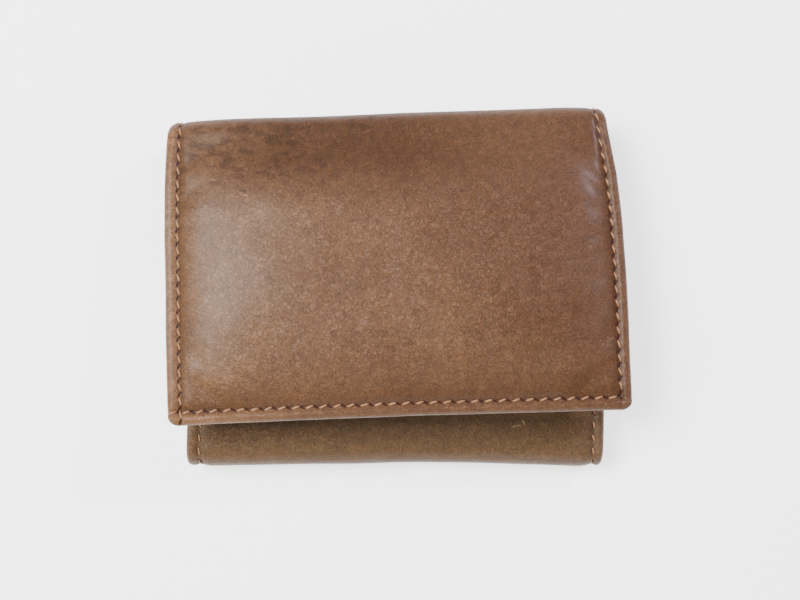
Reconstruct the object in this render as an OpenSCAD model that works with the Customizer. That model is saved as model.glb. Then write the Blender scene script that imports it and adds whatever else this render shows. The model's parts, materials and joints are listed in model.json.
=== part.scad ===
// A trifold wallet, lying on its back, closed. The flap folds down over the
// tuck panel from the top fold; the tuck panel folds up from the bottom fold.
// +X runs along the folds, +Y runs to the top fold, +Z is up. The origin is
// the middle of the back panel's outer face.

/* [Outline] */
// Width of the back and of the tuck panel at the bottom fold
body_w = 100; // [85:0.5:120]
// Width of the flap at the top fold
top_fold_w = 103; // [85:0.5:124]
// Width of the flap at its free edge
flap_w = 105; // [85:0.5:128]
// Width of the tuck panel at its free edge
tuck_w = 97; // [80:0.5:118]
// Distance between the two hinge lines on the back
back_l = 76; // [64:0.5:95]
// Length of the flap from its hinge line to its free edge
flap_l = 66; // [56:0.5:82]
// Length of the tuck panel from its hinge line to its free edge
tuck_l = 52; // [44:0.5:64]
// Radius of the corners
corner_r = 2; // [0.5:0.1:5]

/* [Folds] */
// Outer radius of each quarter bend of the shell
bend_r = 4; // [3.2:0.1:5]
// Empty height between the card pockets and the tuck panel at the bottom fold
tuck_gap = 3.2; // [2:0.1:5]
// Empty height between the tuck panel's free edge and the card pockets
tuck_tip_gap = 1; // [0.6:0.1:1.5]
// Empty height between the tuck panel and the flap at the folds
flap_gap = 4.4; // [3:0.1:8]
// Angle by which the closed flap stands up towards its free edge
flap_lift = 6; // [0:0.5:9]
// Angle between the top fold and the bottom fold, seen from above
fold_skew = 2; // [0:0.1:3]
// Sideways place of the middle of the top fold
fold_shift = -1.6; // [-3:0.1:3]

/* [Layers] */
// Thickness of the shell leather
leather_t = 1.2; // [0.8:0.05:1.5]
// Thickness of the board or padding between leather and lining
filler_t = 0.6; // [0.4:0.05:0.8]
// Thickness of the lining
lining_t = 0.3; // [0.2:0.05:0.4]
// Thickness of the cloth divider behind the pockets
divider_t = 0.3; // [0.2:0.05:0.4]
// Thickness of the leather of one pocket
pocket_t = 0.6; // [0.4:0.05:0.8]
// Thickness of the clear window film
film_t = 0.3; // [0.2:0.05:0.5]
// Thickness of the window frame's leather
frame_t = 0.9; // [0.6:0.05:1.2]

/* [Pockets] */
// Distance from a panel's edge to the edge of what is sewn inside it
inner_inset = 1.2; // [0.8:0.1:3]
// Distance from a hinge line to the first pocket or filler edge
fold_clear = 5; // [3:0.5:8]
// Distance from the front card pocket's slot to the back's open side
slot_set_back = 16; // [10:0.5:24]
// Step from one card pocket's slot to the next
slot_step = 5; // [3:0.5:8]
// Distance from the tuck panel's front slot to its open side
tuck_slot_set_back = 14; // [10:0.5:30]
// Width of the window's opening, along the folds
window_w = 74; // [60:0.5:84]
// Length of the window's opening, across the folds
window_l = 42; // [34:0.5:46]
// Radius of the window's corners
window_r = 3; // [1:0.5:6]
// Overlap of the film behind the frame
film_lap = 4; // [2:0.5:6]

/* [Stitching] */
// Distance from one stitch to the next
stitch_pitch = 3.1; // [2.5:0.1:4]
// Share of the distance between stitches that a stitch's thread covers
stitch_share = 0.7; // [0.5:0.05:0.85]
// Width of the thread
thread_w = 0.6; // [0.4:0.05:0.8]
// Height of a stitch from its underside to its top
thread_h = 0.5; // [0.4:0.05:0.6]
// Height by which a stitch stands above the leather
thread_proud = 0.2; // [0:0.05:0.3]
// Distance from a side edge to its seam
side_margin = 2.2; // [2:0.1:4]
// Distance from a free edge to its seam
end_margin = 2.6; // [2:0.1:4]
// Distance from an inner edge to its seam
inner_margin = 1.4; // [1:0.1:3]

/* [Hidden] */
$fn = 48;
corner_steps = 6;
// How far each layer's outer face lies under the shell's outer face
filler_d = leather_t;
lining_d = filler_d + filler_t;
divider_d = lining_d + lining_t;
inside_d = divider_d + divider_t;
back_stack = inside_d + 3 * pocket_t;
tuck_stack = inside_d + 2 * pocket_t;
flap_stack = inside_d + film_t + frame_t;
bottom_fold_h = back_stack + tuck_gap + tuck_stack;
top_fold_h = bottom_fold_h + flap_gap + flap_stack;
tuck_drop = asin((tuck_gap - tuck_tip_gap) / tuck_l);
hinge_y = back_l / 2;
top_spine_l = top_fold_h - 2 * bend_r;
bottom_spine_l = bottom_fold_h - 2 * bend_r;
window_mid = (fold_clear + flap_l - inner_inset) / 2;
leather_color = [0.53, 0.39, 0.29];
dark_leather_color = [0.43, 0.34, 0.26];
inner_leather_color = [0.46, 0.33, 0.24];
lining_color = [0.24, 0.18, 0.14];
filler_color = [0.72, 0.66, 0.56];
film_color = [0.85, 0.88, 0.9, 0.45];
thread_color = [0.77, 0.58, 0.42];

// ---- Frames: each one has its own y away from its fold and its outer face at z = bend_r

// The top fold's lower hinge line, in the back's plane
module top_fold_frame() {
    translate([fold_shift, hinge_y, bend_r]) rotate([0, 0, fold_skew]) children();
}

// The top spine, with y upwards from the lower hinge line
module top_spine_frame() {
    top_fold_frame() rotate([90, 0, 0]) mirror([0, 0, 1]) children();
}

// The flap, with y from its hinge line to its free edge
module flap_frame() {
    top_fold_frame() translate([0, 0, top_spine_l]) rotate([-flap_lift, 0, 0])
        mirror([0, 1, 0]) children();
}

// The bottom fold's lower hinge line, in the back's plane
module bottom_fold_frame() {
    translate([0, -hinge_y, bend_r]) mirror([0, 1, 0]) children();
}

// The bottom spine, with y upwards from the lower hinge line
module bottom_spine_frame() {
    bottom_fold_frame() rotate([90, 0, 0]) mirror([0, 0, 1]) children();
}

// The tuck panel, with y from its hinge line to its free edge
module tuck_frame() {
    bottom_fold_frame() translate([0, 0, bottom_spine_l]) rotate([tuck_drop, 0, 0])
        mirror([0, 1, 0]) children();
}

// The back, with its outer face down
module back_frame() {
    translate([0, 0, bend_r]) mirror([0, 0, 1]) children();
}

// ---- Shapes

// Points of an arc
function arc(x, y, r, a0, a1) = [
    for (i = [0:corner_steps]) let (a = a0 + (a1 - a0) * i / corner_steps)
        [x + r * cos(a), y + r * sin(a)]
];

// Width of a panel at distance y from its fold
function width_at(y, w0, w1, l) = w0 + (w1 - w0) * y / l;

// Outline of a panel from y0 to y1, drawn in from its sides, with its far corners rounded
module outline(w0, w1, l, y0, y1, inset, r) {
    xa = width_at(y0, w0, w1, l) / 2 - inset;
    xb = width_at(y1, w0, w1, l) / 2 - inset;
    polygon(concat(
        [[-xa, y0], [xa, y0]],
        arc(xb - r, y1 - r, r, 0, 90),
        arc(r - xb, y1 - r, r, 90, 180)
    ));
}

// A layer whose outer face lies depth d under the shell's outer face
module layer(d, t) {
    translate([0, 0, bend_r - d - t]) linear_extrude(t) children();
}

// The back's outline between the two hinge lines, drawn in by a distance
module back_outline(inset, clear) {
    c = cos(fold_skew);
    s = sin(fold_skew);
    xt = top_fold_w / 2 - inset;
    xb = body_w / 2 - inset;
    yt = hinge_y - clear;
    polygon([
        [-xb, clear - hinge_y], [xb, clear - hinge_y],
        [fold_shift + xt * c, yt + xt * s], [fold_shift - xt * c, yt - xt * s]
    ]);
}

module flap_layer(d, t, y0, inset) {
    flap_frame() layer(d, t)
        outline(top_fold_w, flap_w, flap_l, y0, flap_l - inset, inset, corner_r);
}

module tuck_layer(d, t, y0, inset) {
    tuck_frame() layer(d, t)
        outline(body_w, tuck_w, tuck_l, y0, tuck_l - inset, inset, corner_r);
}

module back_layer(d, t, inset, clear) {
    back_frame() layer(d, t) back_outline(inset, clear);
}

module top_spine_layer(d, t) {
    top_spine_frame() layer(d, t) translate([-top_fold_w / 2, 0])
        square([top_fold_w, top_spine_l]);
}

module bottom_spine_layer(d, t) {
    bottom_spine_frame() layer(d, t) translate([-body_w / 2, 0])
        square([body_w, bottom_spine_l]);
}

// One layer of a bend about the x axis, from angle a0 to a1 measured from +Y towards +Z
module bend(w, d, t, a0, a1) {
    translate([-w / 2, 0, 0]) rotate([90, 0, 90]) linear_extrude(w)
        polygon(concat(
            arc(0, 0, bend_r - d, a0, a1),
            arc(0, 0, bend_r - d - t, a1, a0)
        ));
}

module top_lower_bend(d, t) {
    top_fold_frame() bend(top_fold_w, d, t, -90, 0);
}

module top_upper_bend(d, t) {
    top_fold_frame() translate([0, 0, top_spine_l])
        bend(top_fold_w, d, t, 0, 90 - flap_lift);
}

module bottom_lower_bend(d, t) {
    bottom_fold_frame() bend(body_w, d, t, -90, 0);
}

module bottom_upper_bend(d, t) {
    bottom_fold_frame() translate([0, 0, bottom_spine_l])
        bend(body_w, d, t, 0, 90 + tuck_drop);
}

// ---- Stitching

// A row of stitches from point a to point b, sunk into the face at height top
module stitch_row(a, b, top, proud) {
    length = norm(b - a);
    count = max(1, round(length / stitch_pitch));
    step = (b - a) / count;
    turn = atan2(b.y - a.y, b.x - a.x);
    stitch_l = norm(step) * stitch_share;
    for (i = [0:count - 1])
        translate([a.x + step.x * (i + 0.5), a.y + step.y * (i + 0.5), top + proud - thread_h])
            rotate([0, 0, turn]) translate([-stitch_l / 2, -thread_w / 2, 0])
                cube([stitch_l, thread_w, thread_h]);
}

// Two side seams and the seam along the free edge of a panel
module panel_seams(w0, w1, l) {
    x0 = w0 / 2 - side_margin;
    x1 = w1 / 2 - side_margin;
    y1 = l - end_margin;
    for (side = [-1, 1])
        stitch_row([side * x0, 0], [side * x1, y1 - thread_w], bend_r, thread_proud);
    stitch_row([-x1 + thread_w, y1], [x1 - thread_w, y1], bend_r, thread_proud);
}

// ---- Back panel

module back_leather() {
    color(leather_color) back_layer(0, leather_t, 0, 0);
}

module back_board() {
    color(filler_color) back_layer(filler_d, filler_t, inner_inset, fold_clear);
}

module back_lining() {
    color(lining_color) back_layer(lining_d, lining_t, 0, 0);
}

module back_divider() {
    color(lining_color) back_layer(divider_d, divider_t, 0, 0);
}

// Card pocket number i, counted from the rear; each slot is open towards +X
module card_pocket(i) {
    slot_x = body_w / 2 - slot_set_back + slot_step * (2 - i);
    back_frame() layer(inside_d + pocket_t * i, pocket_t) intersection() {
        back_outline(inner_inset, fold_clear);
        translate([-flap_w, -back_l]) square([flap_w + slot_x, 2 * back_l]);
    }
}

module card_pocket_rear() {
    color(inner_leather_color) card_pocket(0);
}

module card_pocket_middle() {
    color(inner_leather_color) card_pocket(1);
}

module card_pocket_front() {
    color(inner_leather_color) card_pocket(2);
}

module back_stitching() {
    c = cos(fold_skew);
    s = sin(fold_skew);
    xt = top_fold_w / 2 - side_margin;
    xb = body_w / 2 - side_margin;
    color(thread_color) back_frame() for (side = [-1, 1])
        stitch_row([side * xb, -hinge_y],
            [fold_shift + side * xt * c, hinge_y + side * xt * s], bend_r, 0);
}

module card_pocket_stitching() {
    x0 = body_w / 2 - inner_inset - inner_margin;
    x1 = body_w / 2 - slot_set_back - thread_w;
    y = hinge_y - fold_clear - inner_margin;
    skew_rise = x0 * tan(fold_skew);
    color(thread_color) translate([0, 0, back_stack]) {
        stitch_row([-x0, -y], [x1, -y], 0, thread_proud);
        stitch_row([-x0, y - skew_rise], [x1, y + x1 * tan(fold_skew)], 0, thread_proud);
    }
}

// ---- Top fold

module top_lower_bend_leather() {
    color(leather_color) top_lower_bend(0, leather_t);
}

module top_lower_bend_lining() {
    color(lining_color) top_lower_bend(lining_d, lining_t);
}

module top_lower_bend_divider() {
    color(lining_color) top_lower_bend(divider_d, divider_t);
}

module top_spine_leather() {
    color(leather_color) top_spine_layer(0, leather_t);
}

module top_spine_lining() {
    color(lining_color) top_spine_layer(lining_d, lining_t);
}

module top_spine_divider() {
    color(lining_color) top_spine_layer(divider_d, divider_t);
}

module top_spine_stitching() {
    x = top_fold_w / 2 - side_margin;
    color(thread_color) top_spine_frame() for (side = [-1, 1])
        stitch_row([side * x, 0], [side * x, top_spine_l], bend_r, thread_proud);
}

module top_upper_bend_leather() {
    color(leather_color) top_upper_bend(0, leather_t);
}

module top_upper_bend_lining() {
    color(lining_color) top_upper_bend(lining_d, lining_t);
}

module top_upper_bend_divider() {
    color(lining_color) top_upper_bend(divider_d, divider_t);
}

// ---- Flap

module flap_leather() {
    color(leather_color) flap_layer(0, leather_t, 0, 0);
}

module flap_padding() {
    color(filler_color) flap_layer(filler_d, filler_t, fold_clear, side_margin + thread_w);
}

module flap_lining() {
    color(lining_color) flap_layer(lining_d, lining_t, 0, inner_inset);
}

module flap_divider() {
    color(lining_color) flap_layer(divider_d, divider_t, 0, inner_inset);
}

// The clear film lies between the divider and the frame, inside a rim of the frame's leather
module window_film() {
    color(film_color) flap_frame() layer(inside_d, film_t)
        translate([-window_w / 2 - film_lap, window_mid - window_l / 2 - film_lap])
            square([window_w + 2 * film_lap, window_l + 2 * film_lap]);
}

module window_opening() {
    translate([0, window_mid]) {
        square([window_w - 2 * window_r, window_l], center = true);
        square([window_w, window_l - 2 * window_r], center = true);
        for (sx = [-1, 1], sy = [-1, 1])
            translate([sx * (window_w / 2 - window_r), sy * (window_l / 2 - window_r)])
                circle(window_r);
    }
}

// The frame's rim reaches round the film to the divider
module window_frame() {
    film_w = window_w + 2 * film_lap;
    film_l = window_l + 2 * film_lap;
    color(inner_leather_color) flap_frame() {
        layer(inside_d + film_t, frame_t) difference() {
            outline(top_fold_w, flap_w, flap_l, fold_clear, flap_l - inner_inset,
                inner_inset, corner_r);
            window_opening();
        }
        layer(inside_d, film_t) difference() {
            outline(top_fold_w, flap_w, flap_l, fold_clear, flap_l - inner_inset,
                inner_inset, corner_r);
            translate([-film_w / 2, window_mid - film_l / 2]) square([film_w, film_l]);
        }
    }
}

module flap_stitching() {
    color(thread_color) flap_frame() panel_seams(top_fold_w, flap_w, flap_l);
}

module window_stitching() {
    x = window_w / 2 + inner_margin;
    y0 = window_mid - window_l / 2 - inner_margin;
    y1 = window_mid + window_l / 2 + inner_margin;
    color(thread_color) flap_frame() translate([0, 0, 2 * bend_r - flap_stack])
        mirror([0, 0, 1]) {
            for (y = [y0, y1])
                stitch_row([-x, y], [x, y], bend_r, thread_proud);
            for (side = [-1, 1])
                stitch_row([side * x, y0 + thread_w], [side * x, y1 - thread_w],
                    bend_r, thread_proud);
        }
}

// ---- Bottom fold

module bottom_lower_bend_leather() {
    color(leather_color) bottom_lower_bend(0, leather_t);
}

module bottom_lower_bend_lining() {
    color(lining_color) bottom_lower_bend(lining_d, lining_t);
}

module bottom_lower_bend_divider() {
    color(lining_color) bottom_lower_bend(divider_d, divider_t);
}

module bottom_spine_leather() {
    color(leather_color) bottom_spine_layer(0, leather_t);
}

module bottom_spine_lining() {
    color(lining_color) bottom_spine_layer(lining_d, lining_t);
}

module bottom_spine_divider() {
    color(lining_color) bottom_spine_layer(divider_d, divider_t);
}

module bottom_spine_stitching() {
    x = body_w / 2 - side_margin;
    color(thread_color) bottom_spine_frame() for (side = [-1, 1])
        stitch_row([side * x, 0], [side * x, bottom_spine_l], bend_r, thread_proud);
}

module bottom_upper_bend_leather() {
    color(dark_leather_color) bottom_upper_bend(0, leather_t);
}

module bottom_upper_bend_lining() {
    color(lining_color) bottom_upper_bend(lining_d, lining_t);
}

module bottom_upper_bend_divider() {
    color(lining_color) bottom_upper_bend(divider_d, divider_t);
}

// ---- Tuck panel

module tuck_leather() {
    color(dark_leather_color) tuck_layer(0, leather_t, 0, 0);
}

module tuck_board() {
    color(filler_color) tuck_layer(filler_d, filler_t, fold_clear, side_margin + thread_w);
}

module tuck_lining() {
    color(lining_color) tuck_layer(lining_d, lining_t, 0, inner_inset);
}

module tuck_divider() {
    color(lining_color) tuck_layer(divider_d, divider_t, 0, inner_inset);
}

// Slip pocket number i, counted from the rear; each slot is open towards +X
module tuck_pocket(i) {
    slot_x = tuck_w / 2 - tuck_slot_set_back + slot_step * (1 - i);
    tuck_frame() layer(inside_d + pocket_t * i, pocket_t) intersection() {
        outline(body_w, tuck_w, tuck_l, fold_clear, tuck_l - inner_inset, inner_inset, corner_r);
        translate([-flap_w, 0]) square([flap_w + slot_x, 2 * tuck_l]);
    }
}

module tuck_pocket_rear() {
    color(inner_leather_color) tuck_pocket(0);
}

module tuck_pocket_front() {
    color(inner_leather_color) tuck_pocket(1);
}

module tuck_stitching() {
    color(thread_color) tuck_frame() panel_seams(body_w, tuck_w, tuck_l);
}

module tuck_pocket_stitching() {
    x0 = tuck_w / 2 - inner_inset - inner_margin;
    x1 = tuck_w / 2 - tuck_slot_set_back - thread_w;
    y0 = fold_clear + inner_margin;
    y1 = tuck_l - inner_inset - inner_margin;
    color(thread_color) tuck_frame() translate([0, 0, 2 * bend_r - tuck_stack])
        mirror([0, 0, 1])
            for (y = [y0, y1])
                stitch_row([-x0, y], [x1, y], bend_r, thread_proud);
}

back_leather();
back_board();
back_lining();
back_divider();
card_pocket_front();
card_pocket_middle();
card_pocket_rear();
back_stitching();
card_pocket_stitching();
top_lower_bend_leather();
top_lower_bend_lining();
top_lower_bend_divider();
top_spine_leather();
top_spine_lining();
top_spine_divider();
top_spine_stitching();
top_upper_bend_leather();
top_upper_bend_lining();
top_upper_bend_divider();
flap_leather();
flap_padding();
flap_lining();
flap_divider();
window_film();
window_frame();
flap_stitching();
window_stitching();
bottom_lower_bend_leather();
bottom_lower_bend_lining();
bottom_lower_bend_divider();
bottom_spine_leather();
bottom_spine_lining();
bottom_spine_divider();
bottom_spine_stitching();
bottom_upper_bend_leather();
bottom_upper_bend_lining();
bottom_upper_bend_divider();
tuck_leather();
tuck_board();
tuck_lining();
tuck_divider();
tuck_pocket_rear();
tuck_pocket_front();
tuck_stitching();
tuck_pocket_stitching();
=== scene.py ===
import json
import math
from collections import namedtuple
import bmesh
import bpy
import numpy as np
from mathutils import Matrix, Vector, noise


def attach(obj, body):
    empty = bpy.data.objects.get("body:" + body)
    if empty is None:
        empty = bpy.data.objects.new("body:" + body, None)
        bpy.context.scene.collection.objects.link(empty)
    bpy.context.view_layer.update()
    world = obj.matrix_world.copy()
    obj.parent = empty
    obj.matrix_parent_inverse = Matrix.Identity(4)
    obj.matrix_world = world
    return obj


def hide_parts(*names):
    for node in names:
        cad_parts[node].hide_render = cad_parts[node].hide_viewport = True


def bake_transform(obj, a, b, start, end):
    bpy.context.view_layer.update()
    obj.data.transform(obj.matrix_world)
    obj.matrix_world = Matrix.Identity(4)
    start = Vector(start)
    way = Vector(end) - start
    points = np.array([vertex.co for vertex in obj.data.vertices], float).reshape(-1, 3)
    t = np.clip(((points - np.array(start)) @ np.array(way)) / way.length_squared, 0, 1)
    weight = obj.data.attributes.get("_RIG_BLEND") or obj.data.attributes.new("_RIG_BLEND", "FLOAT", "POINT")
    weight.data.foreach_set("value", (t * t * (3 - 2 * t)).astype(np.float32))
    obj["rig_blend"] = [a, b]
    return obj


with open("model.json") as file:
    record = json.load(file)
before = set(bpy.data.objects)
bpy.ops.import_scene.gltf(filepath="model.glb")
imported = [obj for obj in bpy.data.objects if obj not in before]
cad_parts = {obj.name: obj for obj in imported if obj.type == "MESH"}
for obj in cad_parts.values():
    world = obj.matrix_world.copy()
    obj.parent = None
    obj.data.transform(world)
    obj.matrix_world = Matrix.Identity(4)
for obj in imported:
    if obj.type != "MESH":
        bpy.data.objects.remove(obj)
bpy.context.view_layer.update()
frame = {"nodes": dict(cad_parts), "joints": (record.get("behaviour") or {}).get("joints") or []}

# A small trifold leather wallet, closed, lying on its back.
#
# The shell is one strip of leather that runs from the flap's free edge over the top fold, along the back,
# round the bottom fold and up the tuck panel. Every piece of it is placed on that strip by how far along it
# lies and how far across. Lengths in the part of the script that shapes leather are millimetres; MM turns
# them to metres.

MM = 0.001
HALF_WIDTH = 50.0      # the scale across, for waves that follow the leather
UP = np.array([0.0, 0.0, 1.0])
JOINTS = {j["name"]: j for j in frame["joints"]}

# ---- Camera ----

CAMERA_HEIGHT = 0.264
CAMERA_OVER = (0.0010, -0.0014)
LENS_MM = 47.5


def make_camera():
    """Straight above the wallet, close, with the top fold at the top of the picture."""
    data = bpy.data.cameras.new("overhead")
    data.lens = LENS_MM
    data.sensor_width = 36
    data.clip_start = 0.01
    data.clip_end = 20
    camera = bpy.data.objects.new("overhead", data)
    camera.location = (*CAMERA_OVER, CAMERA_HEIGHT)
    bpy.context.scene.collection.objects.link(camera)
    bpy.context.scene.camera = camera


make_camera()

# ---- Sizes, in millimetres ----

LEATHER = 1.2          # shell leather
TURNED = 1.75          # shell leather where its edge is turned under
EDGE_ROUND = 0.95      # how far in from an edge its rounding reaches
LINING_AT = 1.8        # depth of the lining under the shell's outer face
CLOTH = 0.3            # lining and divider cloth, and how thick it is shown, so that the two keep apart
CLOTH_SHOWN = 0.92 * CLOTH
INNER_INSET = 1.2      # how far lining and inner pieces stay back from the shell's edge
LEFT_MARGIN = 3.1      # left edge to seam
RIGHT_MARGIN = 2.5     # right edge to seam
END_MARGIN = 2.9       # free edge to seam
PITCH = 3.1            # stitch to stitch
CORNER = 2.5           # corner radius
BACK_SPREAD = 6.0      # how far along the back a fold's bending is felt
SHELL_STEP = 0.78      # size of the shell's faces, and along the hidden back
BACK_STEP = 2.0
CLOTH_STEP = 1.5
NO_HOLE = 9.0          # added to a seam distance where there are no needle holes


# ---- The strip: where a point of the shell lies ----

def hinge_point(name):
    return np.array(JOINTS[name]["pos_m"]) / MM


def smooth(low, high, value):
    """0 below low, 1 above high, and a smooth rise between."""
    t = np.clip((np.asarray(value, float) - low) / (high - low), 0, 1)
    return t * t * (3 - 2 * t)


def side_margin(across):
    return np.where(np.asarray(across) < 0, LEFT_MARGIN, RIGHT_MARGIN)


class Run:
    """Half of the strip: from the middle of the back round one fold to a panel's free edge.

    along = 0 at the lower hinge line; negative on the back. across = -1..1 from edge to edge. rise is
    measured outwards from the CAD shell's outer face.
    """

    def __init__(self, lower, upper, panel, outward_sign, lift):
        self.low, self.high = hinge_point(lower), hinge_point(upper)
        axis = np.array(JOINTS[lower]["axis"])
        self.u = axis * np.sign(axis[0])
        self.v = np.cross(UP, self.u) * outward_sign
        self.lift = lift
        self.radius = self.low[2]
        self.bend1 = self.radius * math.pi / 2
        self.spine = self.high[2] - self.low[2]
        self.bend2 = self.radius * (math.pi / 2 - lift)
        self.mid_spine = self.bend1 + self.spine / 2
        self.panel_at = self.bend1 + self.spine + self.bend2
        self.normal = math.sin(lift) * self.v + math.cos(lift) * UP
        self.run_out = math.sin(lift) * UP - math.cos(lift) * self.v
        points = node_points(panel) - self.high
        reach = points @ self.run_out
        half = np.abs(points @ self.u)
        self.panel_l = reach.max()
        self.w0 = 2 * half[reach < 0.5].max()
        self.w1 = 2 * half[reach > self.panel_l - 2 * CORNER - 0.5].max()
        self.end = self.panel_at + self.panel_l

    def width(self, along):
        return self.w0 + (self.w1 - self.w0) * np.clip((along - self.panel_at) / self.panel_l, 0, 1)

    def place(self, across, along, rise):
        """Points in millimetres for arrays of across, along and rise."""
        across, along, rise = np.broadcast_arrays(across, along, rise)
        out = np.empty(across.shape + (3,))
        lateral = across * self.width(along) / 2
        base = self.low * [1, 1, 0]
        on_back = along < 0
        on_bend1 = (along >= 0) & (along < self.bend1)
        on_spine = (along >= self.bend1) & (along < self.bend1 + self.spine)
        on_bend2 = (along >= self.bend1 + self.spine) & (along < self.panel_at)
        on_panel = along >= self.panel_at

        def put(where, v_part, z_part):
            out[where] = (base + lateral[where][:, None] * self.u + v_part[:, None] * self.v
                          + z_part[:, None] * UP)

        if on_back.any():
            near = base + lateral[on_back][:, None] * self.u
            far = back_line(self.other, across[on_back])
            share = (-along[on_back] / BACK_L)[:, None]
            out[on_back] = near * (1 - share) + far * share
            out[on_back, 2] = -rise[on_back]
        bends = ((on_bend1, 0.0, self.radius, -math.pi / 2),
                 (on_bend2, self.bend1 + self.spine, self.high[2], 0.0))
        for where, start, top, first in bends:
            angle = first + (along[where] - start) / self.radius
            reach = self.radius + rise[where]
            put(where, reach * np.cos(angle), top + reach * np.sin(angle))
        put(on_spine, self.radius + rise[on_spine], self.radius + along[on_spine] - self.bend1)
        gone = along[on_panel] - self.panel_at
        out[on_panel] = (self.high + lateral[on_panel][:, None] * self.u + gone[:, None] * self.run_out
                         + (self.radius + rise[on_panel])[:, None] * self.normal)
        return out

    def facing(self, along):
        """The outward direction at each place along the strip."""
        along = np.atleast_1d(np.asarray(along, float))
        angle = np.where(along < self.bend1, -math.pi / 2 + np.clip(along, 0, None) / self.radius,
                         np.clip(along - self.bend1 - self.spine, 0, self.bend2) / self.radius)
        return np.cos(angle)[:, None] * self.v + np.sin(angle)[:, None] * UP


def node_points(name):
    mesh = frame["nodes"][name].data
    co = np.empty(len(mesh.vertices) * 3)
    mesh.vertices.foreach_get("co", co)
    return co.reshape(-1, 3) / MM


def back_line(run, across):
    """The end of the back at a fold's lower hinge line."""
    return run.low * [1, 1, 0] + (across * run.w0 / 2)[:, None] * run.u


def rest_lift(joint):
    """How far a closed panel stands off square with its spine, from how far its hinge opens."""
    return math.pi / 2 - math.radians(JOINTS[joint]["range_deg"][1])


TOP = Run("top_fold_lower", "top_fold_upper", "flap_leather", 1, rest_lift("top_fold_upper"))
BOTTOM = Run("bottom_fold_lower", "bottom_fold_upper", "tuck_leather", -1, rest_lift("bottom_fold_upper"))
TOP.other, BOTTOM.other = BOTTOM, TOP
BACK_L = TOP.low[1] - BOTTOM.low[1]
HALF_BACK = BACK_L / 2


# ---- Meshes ----

def finish_mesh(name, verts, faces, material, sharp=()):
    """A closed, smooth-shaded mesh object from points in millimetres, with its faces turned outwards."""
    mesh = bpy.data.meshes.new(name)
    mesh.from_pydata([tuple(p) for p in np.asarray(verts) * MM], [], faces)
    mesh.update()
    bm = bmesh.new()
    bm.from_mesh(mesh)
    bm.verts.ensure_lookup_table()
    for a, b in sharp:
        edge = bm.edges.get((bm.verts[a], bm.verts[b]))
        if edge:
            edge.smooth = False
    bmesh.ops.recalc_face_normals(bm, faces=bm.faces)
    for face in bm.faces:
        face.smooth = True
    bm.to_mesh(mesh)
    bm.free()
    mesh.materials.append(material)
    piece = bpy.data.objects.new(name, mesh)
    bpy.context.scene.collection.objects.link(piece)
    return piece


ROUND_SIDES = (True, True, True, True)
CUT_SIDES = (False, False, False, False)


def closed_sheet(name, outer, inner, material, round_sides):
    """A sheet from an outer and an inner grid of points (rows x columns x 3).

    round_sides says for first row, last row, first column and last column whether the two faces meet there
    in a rounded rim; elsewhere a narrow wall closes the cut.
    """
    rows, cols = outer.shape[:2]
    out_i = np.arange(rows * cols).reshape(rows, cols)
    in_i = out_i + rows * cols
    borders = ((0, slice(None)), (rows - 1, slice(None)), (slice(None), 0), (slice(None), cols - 1))
    for is_round, border in zip(round_sides, borders):
        if is_round:
            in_i[border] = out_i[border]
    faces, sharp = [], []
    for r in range(rows - 1):
        for c in range(cols - 1):
            faces.append((out_i[r, c], out_i[r, c + 1], out_i[r + 1, c + 1], out_i[r + 1, c]))
            faces.append((in_i[r, c], in_i[r + 1, c], in_i[r + 1, c + 1], in_i[r, c + 1]))
    for is_round, border in zip(round_sides, borders):
        if is_round:
            continue
        a, b = out_i[border], in_i[border]
        for k in range(len(a) - 1):
            ring = list(dict.fromkeys((a[k], a[k + 1], b[k + 1], b[k])))
            faces.append(tuple(ring))
            sharp += [(a[k], a[k + 1]), (b[k], b[k + 1])]
    used = sorted({i for f in faces for i in f})
    renumber = {old: new for new, old in enumerate(used)}
    verts = np.concatenate([outer.reshape(-1, 3), inner.reshape(-1, 3)])[used]
    faces = [tuple(renumber[i] for i in f) for f in faces]
    sharp = [(renumber[a], renumber[b]) for a, b in sharp]
    piece = finish_mesh(name, verts, faces, material, sharp)
    return piece, np.array(used) % (rows * cols)


def give_attribute(piece, name, values, picked):
    """A number or a vector for each point of a piece, for its material to read."""
    values = np.asarray(values, float)
    vector = values.ndim == 3
    attribute = piece.data.attributes.new(name, "FLOAT_VECTOR" if vector else "FLOAT", "POINT")
    flat = values.reshape(-1, 3)[picked] if vector else values.reshape(-1)[picked]
    attribute.data.foreach_set("vector" if vector else "value", flat.astype(np.float32).ravel())


def ruffle(scale, seed, *coords):
    """Smooth noise in -1..1 over one or two coordinate grids, with features about scale millimetres wide."""
    grids = np.broadcast_arrays(*coords)
    flat = [g.ravel() / scale for g in grids]
    if len(flat) == 1:
        flat.append(np.zeros_like(flat[0]))
    values = [noise.noise(Vector((a, b, seed * 7.31))) for a, b in zip(*flat)]
    return np.array(values).reshape(grids[0].shape)


def spaced(low, high, step):
    """Evenly spaced places from low to high, about step apart."""
    return np.linspace(low, high, max(2, int(round((high - low) / step)) + 1))


EDGE_STEPS = np.array([0, 0.08, 0.22, 0.42, 0.68, 0.95, 1.25, 1.55, 1.8, 2.0, 2.2, 2.4, 2.65, 3.0, 3.4, 3.9,
                       4.5])


def across_places(width, step):
    """Distances from the left edge, close together near both edges."""
    middle = spaced(EDGE_STEPS[-1], width - EDGE_STEPS[-1], step)[1:-1]
    return np.concatenate([EDGE_STEPS, middle, width - EDGE_STEPS[::-1]])


# ---- The leather's relief ----

def well_up(distance, spread):
    """How full a padded panel stands at a distance in from its seam."""
    return 1 - np.exp(-np.clip(distance, 0, None) / spread)


def groove(distance, width):
    """1 at no distance and nothing beyond about two widths."""
    return np.exp(-(distance / width) ** 2)


def stitch_pull(distance, width, along):
    """How far a seam draws the leather in, deepest at each stitch along it."""
    return groove(distance, width) * (0.30 + 0.12 * np.cos(2 * math.pi * along / PITCH))


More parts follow.
